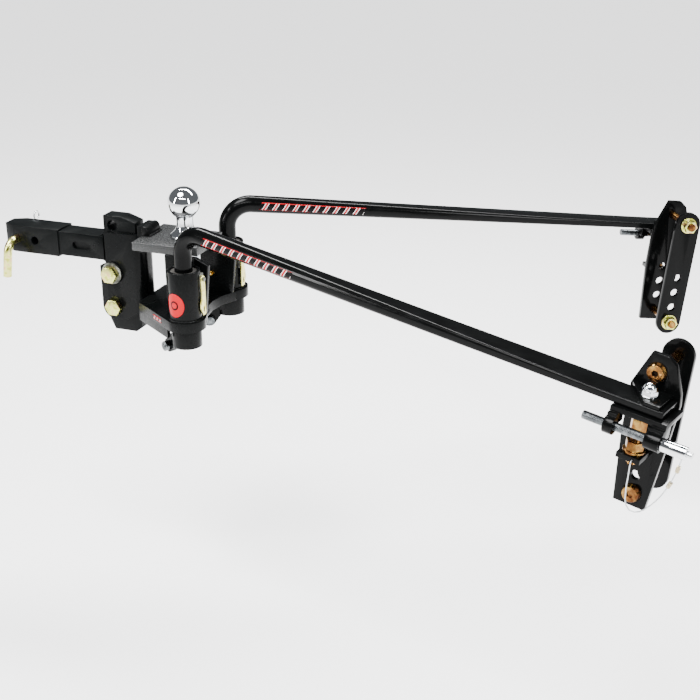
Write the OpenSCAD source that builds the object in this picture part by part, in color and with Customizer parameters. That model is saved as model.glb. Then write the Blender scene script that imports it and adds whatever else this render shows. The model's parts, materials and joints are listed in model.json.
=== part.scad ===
// Weight distribution hitch: receiver shank, tilting hitch head with ball, two spring bars
// that swivel in upright sockets, and two frame brackets with jack-screw bar carriers.
// +X points to the trailer, +Y to the vehicle's right, +Z up.
// The origin is the centre of the hitch pin hole in the shank.

/* [Receiver shank] */
// Side of the square shank
shank_w = 50.8; // [44:0.1:64]
// Side of the reduced neck behind the step
neck_w = 45; // [38:0.5:60]
// Hitch pin hole to the step in the shank
step_x = 90; // [70:1:110]
// Diameter of the hitch pin
pin_d = 15.9; // [12:0.1:18]
// Hitch pin hole to the front face of the drop bar
bar_front_x = 185; // [170:1:215]

/* [Drop bar] */
// Thickness of the drop bar across the vehicle
drop_t = 31.8; // [24:0.2:38]
// Depth of the drop bar, front to back
drop_d = 66; // [60:1:76]
// Top of the drop bar above the shank's centre line
drop_top = 62; // [56:1:80]
// Bottom of the drop bar below the shank's centre line
drop_bottom = 160; // [145:1:190]
// Diameter of the two head bolts
bolt_d = 19; // [14:0.5:23]
// Height between the two head bolts
bolt_gap = 66; // [56:1:76]

/* [Hitch head] */
// Thickness of the channel's cheeks and web
channel_t = 9.5; // [7:0.5:12]
// Thickness of the ball platform
platform_t = 16; // [12:0.5:20]
// Half width of the ball platform
platform_y = 60; // [52:1:68]
// Outside diameter of the upright sockets
socket_d = 58; // [52:0.5:66]
// Distance from the middle to each socket's axis
socket_y = 89.5; // [84:0.5:100]
// Distance from the drop bar's front face to the sockets' axes
socket_back = 200; // [190:1:220]
// Diameter of the hitch ball
ball_d = 58.7; // [47:0.1:60]

/* [Spring bars] */
// Diameter of the bar at its leg
leg_d = 32; // [26:0.5:36]
// Radius of the bar's bend, at its centre line
bend_r = 42; // [38:1:60]
// Distance along the bar from the leg's axis to its end
bar_len = 905; // [750:5:1100]
// Width of the bar at its end
bar_end_w = 48; // [38:0.5:52]
// Thickness of the bar at its end
bar_end_t = 11; // [8:0.5:16]
// Downward slope of the bars, in degrees
bar_slope = 5.75; // [2:0.25:8]
// Outward swing of the left bar at rest, in degrees
left_splay = 16.2; // [10:0.1:35]
// Outward swing of the right bar at rest, in degrees
right_splay = 30.2; // [10:0.1:35]

/* [Frame brackets] */
// Gap for the trailer's frame rail
rail_gap = 64; // [50:1:80]
// Thickness of the bracket plates
plate_t = 8; // [6:0.5:10]
// Height between the two clamp bolts
clamp_gap = 196; // [180:1:220]
// Diameter of the clamp bolts
clamp_d = 14; // [10:0.5:16]
// Bar's centre line below the left bracket's upper bolt
left_lift = 36; // [26:1:60]
// Bar's centre line below the right bracket's upper bolt
right_lift = 28; // [26:1:60]

/* [Hidden] */
$fn = 48;

// Clearances
run_gap = 0.05;      // radial, shaft in bore
loose_gap = 0.3;     // between faces that slide past each other
bolt_gap_r = 0.5;    // radial, bolt through a plate
collar_bolt_r = 5;
e = 0.01;

// Receiver shank
nose_x = -30;
nose_flat = 14;
nose_taper_x = -7;
second_hole_x = 39;
slot_x0 = 119;
slot_x1 = 158;
slot_h = 15;
slot_depth = 6;
pin_r = pin_d / 2;
pin_hole_r = pin_r + 0.1;
pin_lean = 8;
clip_wire_r = 1.6;
clip_y = shank_w / 2 + 19;
weld_r = 26;

// Drop bar
drop_y = drop_t / 2;
drop_rear_x = bar_front_x + drop_d;
bolt_x = bar_front_x + 18;
lower_bolt_z = -110;
upper_bolt_z = lower_bolt_z + bolt_gap;
spare_hole_z = 44;
bolt_r = bolt_d / 2;

// Channel: two cheeks and a rear web around the drop bar
cheek_in = drop_y + loose_gap;
cheek_out = cheek_in + channel_t;
tilt_room = 7;
web_in_x = drop_rear_x + tilt_room;
web_out_x = web_in_x + channel_t;
cheek_front_x = bolt_x - 26;
cheek_top_z = 33;
web_top_z = 50;
corner_r = 20;
tilt_slot_deg = 2.2;
washer_r = 21;
washer_t = 6;

// Platform, sockets and lower plate
platform_top = 33;
platform_bottom = platform_top - platform_t;
socket_x = bar_front_x + socket_back;
socket_r = socket_d / 2;
socket_top = 5;
ball_x = socket_x - 40;
ball_hole_r = 16.2;
lower_top = -85;
lower_t = 18;
lower_bottom = lower_top - lower_t;
skirt_bottom = -120;
skirt_t = 8;
ring_r = socket_r + 6;
ear_turn = 151;
ear_x = 41;
ear_z = -147;
ear_r = 12.5;
side_t = 10;
side_y = socket_y - socket_r + 1;
side_x0 = socket_x - 52;
side_x1 = socket_x + 33;
leg_r = leg_d / 2;
liner_r = socket_r - 5;
collar_top = lower_bottom;
collar_bottom = -137;
collar_r = 26.5;
leg_bottom = collar_bottom + 4;

// Spring bar: the line of the tapered bar meets the leg's axis at line_z
line_z = 77;
bend_out = bend_r * (1 + sin(bar_slope));
bend_z = line_z - bend_r * cos(bar_slope) - tan(bar_slope) * bend_out;
bend_len = bend_out / cos(bar_slope);

// Frame bracket, in the bar's own frame: X along the bar, Y outward, Z square to the bar
clamp_x = bar_len - 38;
bar_half_w = bar_end_w / 2 + 0.8;
bar_flat_x = bar_len - 115;  // the bar keeps one section from here to its end
plate_y1 = -bar_half_w - 1.5;
plate_y0 = plate_y1 - plate_t;
strap_y1 = plate_y0 - rail_gap;
strap_y0 = strap_y1 - plate_t;
strap_r = 24;
clamp_r = clamp_d / 2;
hole_pitch = 30;
shelf_t = 8;
shelf_top = -bar_end_t / 2 - 0.8;
shelf_bottom = shelf_top - shelf_t;
shelf_y1 = bar_half_w + 6;
lug_y = 37;
lug_z = -32;
lug_t = 14;
lug_rear_t = 22;
lug_x0 = clamp_x - 28;
lug_x1 = clamp_x + 37;
lug_end_x = lug_x1 + lug_rear_t / 2;
lock_r = 6.3;
handle_r = 9.5;
handle_len = 37;
button_r = 4.5;
tab_z = bar_end_t / 2 + 1;
tab_t = 5;
jack_y = 2;
jack_r = 8;
jack_plate_z = -118;  // below the upper clamp bolt
jack_plate_t = 8;
jack_end_z = -96;

// Lanyard route in the left bar's frame, from the pin's handle to the frame plate
lanyard_d = 1.8;
lanyard = [[946, 36, -43], [945, 35, -49], [944, 34, -56], [943, 33, -63], [941, 32, -70],
    [939, 31, -78], [937, 30, -86], [934, 29, -95], [930, 28, -105], [926, 27, -115],
    [921, 26, -125], [915, 25, -135], [908, 24, -145], [901, 23, -153], [893, 22, -158],
    [885, 22, -158], [879, 22, -152], [876, 22, -143], [875, 22, -132], [874, 22, -121],
    [874, 22, -110], [874, 23, -100], [874, 24, -92], [874, 24.5, -86], [874, 23, -82.6],
    [874, 20, -82]];

// A bolt's hexagon: across flats af, height h, standing on z = 0
module hexagon(af, h) {
    cylinder(r = af / 2 / cos(30), h = h, $fn = 6);
}

// A cylinder along Y from y0 to y1
module cyl_y(r, y0, y1) {
    translate([0, y0, 0]) rotate([-90, 0, 0]) cylinder(r = r, h = y1 - y0);
}

// A cylinder along X from x0 to x1
module cyl_x(r, x0, x1) {
    translate([x0, 0, 0]) rotate([0, 90, 0]) cylinder(r = r, h = x1 - x0);
}

// Right side as drawn, or mirrored to the left
module on_side(side) {
    mirror([0, side == "left" ? 1 : 0, 0]) children();
}

// The leg's axis, turned outward by the splay
module at_leg(side) {
    on_side(side)
        translate([socket_x, socket_y, 0])
            rotate([0, 0, side == "left" ? left_splay : right_splay]) children();
}

// The tapered bar's own frame
module on_bar(side) {
    at_leg(side) translate([0, 0, line_z]) rotate([0, bar_slope, 0]) children();
}

// The bracket's frame: the upper clamp bolt is at z = 0
module on_bracket(side) {
    on_bar(side) translate([clamp_x, 0, side == "left" ? left_lift : right_lift]) children();
}

// A flat plate in XZ between y0 and y1, from an outline
module plate_xz(y0, y1, points) {
    translate([0, y1, 0]) rotate([90, 0, 0]) linear_extrude(y1 - y0) polygon(points);
}

module shank() {
    half = shank_w / 2;
    neck = neck_w / 2;
    color("#2b2e30") difference() {
        union() {
            // nose with chamfered corners
            linear_extrude(shank_w, center = true)
                polygon([[nose_x, -nose_flat], [nose_x, nose_flat], [nose_taper_x, half],
                    [step_x, half], [step_x, -half], [nose_taper_x, -half]]);
            translate([step_x, -neck, -neck]) cube([bar_front_x - step_x, neck_w, neck_w]);
            // flared roots above and below the neck
            for (up = [1, -1]) scale([1, 1, up])
                translate([bar_front_x, 0, neck]) rotate([90, 0, 0])
                    linear_extrude(drop_t, center = true) difference() {
                        polygon([[-weld_r / 2, 0], [0, 0], [0, weld_r / 2], [-weld_r / 2, weld_r / 2]]);
                        translate([-weld_r / 2, weld_r / 2]) circle(r = weld_r / 2);
                    }
        }
        for (x = [0, second_hole_x]) translate([x, 0, 0]) cyl_y(pin_hole_r, -half - 1, half + 1);
        // obround recess in both sides
        for (y = [-neck - 1, neck - slot_depth]) {
            for (x = [slot_x0 + slot_h / 2, slot_x1 - slot_h / 2])
                translate([x, 0, 0]) cyl_y(slot_h / 2, y, y + slot_depth + 1);
            translate([slot_x0 + slot_h / 2, y, -slot_h / 2])
                cube([slot_x1 - slot_x0 - slot_h, slot_depth + 1, slot_h]);
        }
        // hollow nose
        translate([nose_x - 1, -shank_w / 4, -shank_w / 4]) cube([16, shank_w / 2, shank_w / 2]);
    }
}

module drop_bar() {
    x0 = bar_front_x;
    x1 = drop_rear_x;
    color("#26292b") difference() {
        plate_xz(-drop_y, drop_y, [[x0, -drop_bottom + 20], [x0, drop_top], [x0 + 38, drop_top],
            [x1, drop_top - 9], [x1, -drop_bottom + 9], [x1 - 12, -drop_bottom],
            [x0 + 9, -drop_bottom]]);
        for (z = [spare_hole_z, upper_bolt_z, lower_bolt_z])
            translate([bolt_x, 0, z]) cyl_y(bolt_r + (z == lower_bolt_z ? run_gap : bolt_gap_r),
                -drop_y - 1, drop_y + 1);
    }
}

module hitch_pin() {
    bend = 20;
    y_bend = -shank_w / 2 - 9;
    color("#c9a94e") {
        difference() {
            cyl_y(pin_r, y_bend - e, shank_w / 2 + 26);
            translate([0, clip_y, -20]) cylinder(r = clip_wire_r + run_gap, h = 40);
        }
        // elbow that turns down and forward
        translate([0, y_bend, 0]) rotate([0, pin_lean, 0]) {
            translate([0, 0, -bend]) rotate([90, 0, -90]) rotate_extrude(angle = 90)
                translate([bend, 0]) circle(r = pin_r);
            translate([0, -bend, -bend - 47]) cylinder(r = pin_r, h = 47 + e);
        }
    }
}

// pull clip through the pin's cross hole
module hitch_pin_clip() {
    color("#c8ccd0") translate([0, clip_y, 0]) {
        translate([0, 0, -18]) cylinder(r = clip_wire_r, h = 36);
        translate([0, 0, 26]) rotate([0, 90, 0]) rotate_extrude() translate([8, 0]) circle(r = clip_wire_r);
    }
}

module head_bolt(z, grip) {
    translate([bolt_x, 0, z]) {
        cyl_y(bolt_r, -grip, grip + 20);
        translate([0, -grip, 0]) rotate([90, 0, 0]) hexagon(28.6, 12);
    }
}

module head_nut(z, grip) {
    translate([bolt_x, grip, z]) rotate([-90, 0, 0]) difference() {
        hexagon(28.6, 16);
        translate([0, 0, -1]) cylinder(r = bolt_r, h = 18);
    }
}

// serrated tilt washers outside both cheeks
module tilt_washers() {
    y0 = cheek_out + loose_gap;
    color("#9a9c96") for (side = [1, -1]) scale([1, side, 1])
        translate([bolt_x, y0, upper_bolt_z]) rotate([-90, 0, 0]) difference() {
            cylinder(r = washer_r, h = washer_t);
            translate([0, 0, -1]) cylinder(r = bolt_r, h = washer_t + 2);
        }
}

module channel() {
    color("#222527") difference() {
        union() {
            // U in plan, rounded at the rear corners
            translate([0, 0, cheek_top_z - 180]) linear_extrude(180) difference() {
                union() {
                    translate([cheek_front_x, -cheek_out])
                        square([web_out_x - corner_r - cheek_front_x, 2 * cheek_out]);
                    translate([cheek_front_x, corner_r - cheek_out])
                        square([web_out_x - cheek_front_x, 2 * (cheek_out - corner_r)]);
                    for (s = [1, -1]) translate([web_out_x - corner_r, s * (cheek_out - corner_r)])
                        circle(r = corner_r);
                }
                translate([cheek_front_x - 1, -cheek_in])
                    square([web_in_x - cheek_front_x + 1, 2 * cheek_in]);
            }
            translate([web_in_x, -cheek_out + 4, 0]) cube([channel_t, 2 * cheek_out - 8, web_top_z]);
        }
        // cheeks' outline, cut from the block
        plate_xz(-60, 60, [[0, 200], [0, -200], [bolt_x, -200], [bolt_x, lower_bolt_z - 26],
            [bolt_x - 26, lower_bolt_z - 26], [cheek_front_x, lower_bolt_z],
            [cheek_front_x, -neck_w / 2 - 10], [bar_front_x + 5, -neck_w / 2 - 4],
            [bar_front_x + 5, 30], [bar_front_x + 11, cheek_top_z], [bar_front_x + 11, 200]]);
        translate([bolt_x, 0, lower_bolt_z]) rotate([90, 0, 0]) difference() {
            translate([-30, -60, -60]) cube([30, 60, 120]);
            cylinder(r = 26, h = 122, center = true);
        }
        plate_xz(-60, 60, [[bolt_x, -200], [bolt_x, lower_bolt_z - 26],
            [bolt_x + 22, lower_bolt_z - 26], [web_out_x + 1, lower_bottom - 6],
            [web_out_x + 1, -200]]);
        // arc slot for the tilt bolt
        for (a = [-tilt_slot_deg, -tilt_slot_deg / 2, 0, tilt_slot_deg / 2, tilt_slot_deg])
            translate([bolt_x, 0, lower_bolt_z]) rotate([0, a, 0]) translate([0, 0, bolt_gap])
                cyl_y(bolt_r + bolt_gap_r, -60, 60);
        translate([bolt_x, 0, lower_bolt_z]) cyl_y(bolt_r + run_gap, -60, 60);
    }
}

// raised block welded across the web and the platform
module cross_block() {
    x = web_out_x;
    color("#1f2224") plate_xz(-cheek_out + 2, cheek_out - 2, [[x, platform_top],
        [x, web_top_z], [x + 4, web_top_z + 1], [x + 9, web_top_z], [x + 13, web_top_z - 5],
        [x + 15, platform_top]]);
}

module platform() {
    x0 = web_out_x;
    x1 = socket_x - 30;
    reach = socket_x + 8;
    color("#35383a") translate([0, 0, platform_bottom]) difference() {
        linear_extrude(platform_t) polygon([[x0, -platform_y], [x1, -platform_y],
            [x1 + 14, -side_y + side_t], [reach, -side_y + side_t], [reach, side_y - side_t],
            [x1 + 14, side_y - side_t], [x1, platform_y], [x0, platform_y]]);
        translate([ball_x, 0, -1]) cylinder(r = ball_hole_r, h = platform_t + 2);
    }
}

// plan outline of the lower plate on the right side, without the socket's ring
module lower_wing() {
    polygon([[web_out_x, 0], [web_out_x, 50], [socket_x - 18, socket_y + ring_r - 5],
        [socket_x + 10, socket_y + ring_r - 6], [socket_x + 26, side_y], [socket_x + 12, 30],
        [socket_x + 8, 0]]);
}

module lower_plate() {
    color("#202325") difference() {
        union() {
            translate([0, 0, lower_bottom]) linear_extrude(lower_t) {
                for (s = [1, -1]) scale([1, s]) {
                    lower_wing();
                    translate([socket_x, socket_y]) circle(r = ring_r);
                }
            }
            // skirts under the slanted front edges
            for (s = [1, -1]) scale([1, s, 1]) translate([0, 0, skirt_bottom])
                linear_extrude(lower_bottom - skirt_bottom)
                    polygon([[web_out_x, 50], [socket_x - 26, socket_y + ring_r - 11],
                        [socket_x - 26, socket_y + ring_r - 21], [web_out_x, 40]]);
        }
        for (s = [1, -1]) translate([socket_x, s * socket_y, lower_bottom - 1])
            cylinder(r = socket_r, h = lower_t + 2);
    }
}

// upright plates between the platform and the lower plate
module side_plates() {
    color("#2c3032") for (s = [1, -1]) scale([1, s, 1]) difference() {
        plate_xz(side_y - side_t, side_y, [[side_x0, lower_top], [side_x0, platform_bottom],
            [socket_x + 8, platform_bottom], [side_x1, platform_bottom - 12],
            [side_x1 - 9, lower_top]]);
        translate([socket_x, socket_y, lower_top - 1]) cylinder(r = socket_r, h = 200);
    }
}

module socket(side) {
    color("#1c1f21") on_side(side) translate([socket_x, socket_y, 0]) difference() {
        translate([0, 0, lower_bottom]) cylinder(r = socket_r, h = socket_top - lower_bottom);
        translate([0, 0, lower_bottom - 1]) cylinder(r = liner_r, h = 200);
    }
}

// friction liner that grips the leg
module liner(side) {
    color("#6b5a44") on_side(side) translate([socket_x, socket_y, 0]) difference() {
        translate([0, 0, lower_bottom]) cylinder(r = liner_r, h = socket_top - lower_bottom - 3);
        translate([0, 0, lower_bottom - 1]) cylinder(r = leg_r + run_gap, h = 200);
    }
}

// split collar below the socket, with two ears pinched by a cross bolt
module collar(side) {
    height = collar_top - collar_bottom;
    color("#17191b") on_side(side) translate([socket_x, socket_y, 0]) difference() {
        union() {
            translate([0, 0, collar_bottom]) cylinder(r = collar_r, h = height);
            rotate([0, 0, -ear_turn]) for (y = [-15, 4]) {
                translate([ear_x, 0, ear_z]) cyl_y(ear_r, y, y + 11);
                plate_xz(y, y + 11, [[18, collar_bottom], [18, collar_top - 12],
                    [ear_x - 4, collar_top - 20], [ear_x + ear_r - 0.5, ear_z + 3],
                    [ear_x - ear_r + 1.5, ear_z - 6]]);
            }
        }
        translate([0, 0, collar_bottom - 30]) cylinder(r = leg_r + run_gap, h = 200);
        rotate([0, 0, -ear_turn]) {
            translate([0, -4, collar_bottom - 1]) cube([collar_r + 2, 8, height + 2]);
            translate([ear_x, 0, ear_z]) cyl_y(collar_bolt_r, -40, 40);
        }
    }
}

module collar_bolts() {
    color("#a9aba6") for (side = ["left", "right"]) on_side(side)
        translate([socket_x, socket_y, 0]) rotate([0, 0, -ear_turn])
            translate([ear_x, 0, ear_z]) {
                cyl_y(collar_bolt_r, -26, 24);
                for (y = [-24, 15]) cyl_y(9, y, y + 9);
            }
}

module grease_fittings() {
    color("#caa54a") for (side = ["left", "right"]) on_side(side)
        translate([socket_x - 16, side_y - side_t, -49]) rotate([90, 0, 0]) {
            hexagon(8, 4);
            cylinder(r = 2.6, h = 9);
            translate([0, 0, 9]) sphere(r = 3.2);
        }
}

// upright plate and stud that carry each yellow clip
clip_x = socket_x + socket_r + 1;
clip_z = -12;
module clip_mounts() {
    color("#4a4f55") for (side = ["left", "right"]) on_side(side)
        translate([clip_x, socket_y - 8, clip_z]) {
            difference() {
                translate([-8, -7, -30]) cube([8, 14, 40]);
                translate([-clip_x + socket_x, 8, -100]) cylinder(r = socket_r, h = 200);
            }
            cyl_x(2.5, -1, 6);
            cyl_x(4, 4.2, 6);
        }
}

module bar_clip(side) {
    color("#d8c24a") on_side(side) translate([clip_x + loose_gap, socket_y - 8, clip_z])
        rotate([90, 0, 90]) linear_extrude(3) difference() {
            // round top end, then the bent strip below it
            polygon(concat([for (a = [0 : 10 : 180]) 6.5 * [cos(a), sin(a)]],
                [[-6.5, -44], [-6, -66], [4, -66], [11, -54], [11, -44], [6.5, -30]]));
            circle(r = 2.5 + run_gap);
            translate([1, -52]) circle(r = 2.2);
            translate([1, -58]) circle(r = 2.2);
            translate([-1.2, -58]) square([4.4, 6]);
        }
}

module hitch_ball() {
    r = ball_d / 2;
    ball_z = 97;
    color("#d5d9dc") translate([ball_x, 0, 0]) {
        difference() {
            translate([0, 0, ball_z]) sphere(r = r, $fn = 64);
            translate([-50, -50, ball_z + r - 1.6]) cube(100);
        }
        rotate_extrude() polygon([[0, platform_top], [28, platform_top], [28, platform_top + 6],
            [24, platform_top + 9], [18, platform_top + 16], [15.5, platform_top + 26],
            [16.5, platform_top + 40], [0, platform_top + 44]]);
        translate([0, 0, platform_bottom - 34]) cylinder(r = 15.9, h = 60);
    }
}

module ball_washer() {
    color("#8d9093") translate([ball_x, 0, platform_bottom - 5]) difference() {
        cylinder(r = 26, h = 5);
        translate([0, 0, -1]) cylinder(r = 15.9, h = 8);
    }
}

module ball_nut() {
    color("#b9bcbe") translate([ball_x, 0, platform_bottom - 31]) difference() {
        hexagon(47.6, 26);
        translate([0, 0, -1]) cylinder(r = 15.9, h = 30);
    }
}

module spring_bar(side) {
    color("#1a1c1d") {
        at_leg(side) {
            translate([0, 0, leg_bottom]) cylinder(r = leg_r, h = bend_z - leg_bottom + e);
            translate([bend_r, 0, bend_z]) rotate([90, 0, 0]) rotate([0, 0, 90 - bar_slope])
                rotate_extrude(angle = 90 + bar_slope) translate([bend_r, 0]) circle(r = leg_r);
        }
        on_bar(side) {
            hull() {
                translate([bend_len - 0.5, 0, 0]) rotate([0, 90, 0])
                    cylinder(r = leg_r / cos(180 / 32) + 0.1, h = 1, $fn = 32);
                bar_section(bar_flat_x);
            }
            hull() {
                bar_section(bar_flat_x);
                bar_section(bar_len - 1);
            }
        }
    }
}

// 1 mm slice of the bar's flat end, with rounded corners
module bar_section(x) {
    for (y = [-1, 1], z = [-1, 1])
        translate([x, y * (bar_end_w / 2 - 2), z * (bar_end_t / 2 - 2)])
            rotate([0, 90, 0]) cylinder(r = 2, h = 1, $fn = 16);
}

// shelf under the bar's end, with two lugs for the release pin
module carrier(side) {
    x0 = lug_x0 - lug_t / 2;
    color("#191b1c") on_bar(side) difference() {
        union() {
            translate([x0, plate_y1 + loose_gap, shelf_bottom])
                cube([lug_end_x - x0, shelf_y1 - plate_y1 - loose_gap, shelf_t]);
            carrier_lug(lug_x0, lug_t);
            carrier_lug(lug_x1, lug_rear_t);
            // boss that the jack screw is fixed in
            translate([clamp_x, jack_y, shelf_bottom - 6]) cylinder(r = 13, h = 7);
        }
        for (x = [lug_x0, lug_x1])
            translate([x, lug_y, lug_z]) cyl_x(lock_r + run_gap, -lug_rear_t, lug_rear_t);
        translate([clamp_x, jack_y, shelf_bottom - 30]) cylinder(r = jack_r, h = 30 + shelf_t - 2);
    }
}

module carrier_lug(x, t) {
    translate([x - t / 2, shelf_y1 - 18, lug_z]) cube([t, 24, shelf_bottom - lug_z]);
    translate([x, lug_y, lug_z]) cyl_x(13, -t / 2, t / 2);
}

// bent tab over the bar, standing on the shelf's inner edge
module hold_down(side) {
    y0 = plate_y1 + loose_gap;
    x0 = clamp_x - 32;
    x1 = clamp_x + 30;
    color("#1e2021") on_bar(side) {
        translate([x0, y0, shelf_top]) cube([x1 - x0, 1.6, tab_z - shelf_top]);
        translate([0, 0, tab_z]) linear_extrude(tab_t) polygon([[x0, y0], [x1, y0],
            [x1, bar_half_w - 2], [x1 - 22, bar_half_w - 2]]);
    }
}

// cap nut on the tab
module hold_down_nuts(side) {
    color("#dfe3e6") on_bar(side) translate([clamp_x + 4, -1, tab_z + tab_t]) {
        cylinder(r = 12.5, h = 1.6);
        translate([0, 0, 1.6]) hexagon(21, 7);
        translate([0, 0, 8.6]) cylinder(r = 9.6, h = 3);
        translate([0, 0, 10]) sphere(r = 9.2);
    }
}

module jack_screw(side) {
    color("#d1a64c") on_bar(side) translate([clamp_x, jack_y, 0]) {
        translate([0, 0, jack_end_z]) cylinder(r = jack_r, h = shelf_bottom + shelf_t - 2 - jack_end_z);
        translate([0, 0, shelf_bottom - 30]) difference() {
            hexagon(21, 24);
            translate([0, 0, -1]) cylinder(r = jack_r - e, h = 30);
        }
    }
}

// flange nut that turns on the jack plate
module jack_nut(side) {
    color("#c98d4a") on_bracket(side)
        translate([0, jack_y, jack_plate_z + jack_plate_t / 2 + loose_gap]) difference() {
            union() {
                cylinder(r = 16, h = 4);
                hexagon(24, 18);
            }
            translate([0, 0, -1]) cylinder(r = jack_r + run_gap, h = 30);
        }
}

// outer plate of the bracket, with a small plate for the jack
module frame_plate(side) {
    color("#151718") on_bracket(side) {
        difference() {
            plate_xz(plate_y0, plate_y1, [[-12, 27], [13, 27], [25, 17], [39, -22], [41, -39],
                [35, -107], [23, -clamp_gap - 21], [-26, -clamp_gap - 21], [-34, -105],
                [-34, -27]]);
            for (z = [0, -clamp_gap + 3 * hole_pitch, -clamp_gap + 2 * hole_pitch,
                    -clamp_gap + hole_pitch, -clamp_gap])
                translate([0, 0, z]) cyl_y(clamp_r + bolt_gap_r, plate_y0 - 1, plate_y1 + 1);
        }
        difference() {
            translate([-18, plate_y1 - e, jack_plate_z - jack_plate_t / 2])
                cube([36, jack_y + 18 - plate_y1, jack_plate_t]);
            translate([0, jack_y, jack_plate_z - 20]) cylinder(r = jack_r + 1, h = 40);
        }
    }
}

module strap_plate(side) {
    color("#15171a") on_bracket(side) difference() {
        union() {
            for (z = [0, -clamp_gap]) translate([0, 0, z]) cyl_y(strap_r, strap_y0, strap_y1);
            translate([-strap_r, strap_y0, -clamp_gap]) cube([2 * strap_r, plate_t, clamp_gap]);
        }
        for (z = [0, -clamp_gap + 3 * hole_pitch, -clamp_gap + 2 * hole_pitch,
                -clamp_gap + hole_pitch, -clamp_gap])
            translate([0, 0, z]) cyl_y(clamp_r + bolt_gap_r, strap_y0 - 1, strap_y1 + 1);
    }
}

// long bolts with round heads outside, through both plates
module clamp_bolts(side) {
    color("#c98f54") on_bracket(side) for (z = [0, -clamp_gap]) translate([0, 0, z]) {
        cyl_y(clamp_r, strap_y0 - 19, plate_y1);
        translate([0, plate_y1, 0]) rotate([-90, 0, 0]) difference() {
            cylinder(r1 = 15, r2 = 12, h = 8);
            translate([0, 0, 4]) hexagon(9, 5);
        }
    }
}

module clamp_nuts(side) {
    color("#d3bd5f") on_bracket(side) for (z = [0, -clamp_gap])
        translate([0, strap_y0, z]) rotate([90, 0, 0]) difference() {
            union() {
                cylinder(r = 15, h = 3);
                hexagon(22, 14);
            }
            translate([0, 0, -1]) cylinder(r = clamp_r, h = 20);
        }
}

// quick-release pin, parallel to the bar, with a tubular handle
module release_pin(side) {
    color("#c4c8cb") on_bar(side) translate([0, lug_y, lug_z]) {
        cyl_x(lock_r, lug_x0 - lug_t / 2 - 34, lug_end_x + 1);
        difference() {
            cyl_x(handle_r, lug_end_x + loose_gap, lug_end_x + handle_len);
            cyl_x(button_r, lug_end_x + handle_len - 20, lug_end_x + handle_len + 1);
        }
    }
}

module pin_button(side) {
    end = lug_end_x + handle_len;
    color("#9da1a5") on_bar(side) translate([0, lug_y, lug_z])
        cyl_x(button_r - run_gap, end - 13, end + 8);
}

// a ring of points round each point of a route
function unit(v) = v / norm(v);
function tangent(p, i) = unit(p[min(i + 1, len(p) - 1)] - p[max(i - 1, 0)]);
function ring(p, i, r, n) = let (t = tangent(p, i), u = unit(cross(t, [0, 1, 0.2])), v = cross(t, u))
    [for (k = [0 : n - 1]) p[i] + r * (u * cos(360 * k / n) + v * sin(360 * k / n))];

module cable(p, r, n) {
    last = len(p) - 1;
    polyhedron(points = [for (i = [0 : last]) each ring(p, i, r, n)],
        faces = [[for (k = [0 : n - 1]) k],
            for (i = [0 : last - 1], k = [0 : n - 1])
                [i * n + k, (i + 1) * n + k, (i + 1) * n + (k + 1) % n, i * n + (k + 1) % n],
            [for (k = [n - 1 : -1 : 0]) last * n + k]]);
}

module lanyard_cable() {
    color("#c9ccce") on_bar("left") cable(lanyard, lanyard_d / 2, 8);
}

// crimped sleeves near the handle
module lanyard_sleeves() {
    color("#b8a888") on_bar("left") for (i = [2, 6]) {
        t = unit(lanyard[i + 1] - lanyard[i]);
        translate(lanyard[i]) rotate([0, acos(t[2]), atan2(t[1], t[0])]) difference() {
            cylinder(r = 3, h = 10);
            translate([0, 0, -1]) cylinder(r = lanyard_d / 2, h = 12);
        }
    }
}

shank();
drop_bar();
hitch_pin();
hitch_pin_clip();
color("#e3dfc6") head_bolt(upper_bolt_z, cheek_out + loose_gap + washer_t);  // tilt_bolt
color("#e3dfc6") head_nut(upper_bolt_z, cheek_out + loose_gap + washer_t);  // tilt_nut
tilt_washers();
color("#e3dfc6") head_bolt(lower_bolt_z, cheek_out + loose_gap);  // pivot_bolt
color("#e3dfc6") head_nut(lower_bolt_z, cheek_out + loose_gap);  // pivot_nut
channel();
cross_block();
platform();
lower_plate();
side_plates();
socket("left");  // socket_left
socket("right");  // socket_right
liner("left");  // liner_left
liner("right");  // liner_right
collar("left");  // collar_left
collar("right");  // collar_right
collar_bolts();
grease_fittings();
clip_mounts();
hitch_ball();
ball_washer();
ball_nut();
spring_bar("left");  // spring_bar_left
spring_bar("right");  // spring_bar_right
bar_clip("left");  // bar_clip_left
bar_clip("right");  // bar_clip_right
carrier("left");  // carrier_left
carrier("right");  // carrier_right
hold_down("left");  // hold_down_left
hold_down("right");  // hold_down_right
hold_down_nuts("left");  // hold_down_nuts_left
hold_down_nuts("right");  // hold_down_nuts_right
jack_screw("left");  // jack_screw_left
jack_screw("right");  // jack_screw_right
jack_nut("left");  // jack_nut_left
jack_nut("right");  // jack_nut_right
frame_plate("left");  // frame_plate_left
frame_plate("right");  // frame_plate_right
strap_plate("left");  // strap_plate_left
strap_plate("right");  // strap_plate_right
clamp_bolts("left");  // clamp_bolts_left
clamp_bolts("right");  // clamp_bolts_right
clamp_nuts("left");  // clamp_nuts_left
clamp_nuts("right");  // clamp_nuts_right
release_pin("left");  // release_pin_left
release_pin("right");  // release_pin_right
pin_button("left");  // pin_button_left
pin_button("right");  // pin_button_right
lanyard_cable();
lanyard_sleeves();
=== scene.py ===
# %% [markdown]
# # Dressing a weight distribution hitch
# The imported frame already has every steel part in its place, in metres, with +X towards the trailer.
# The real hitch is black powder-coated weldments, a chrome ball and plated hardware, so nearly all its
# looks come from edge highlights on dark paint and from the colours of the plating.

# %%
import math

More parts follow.
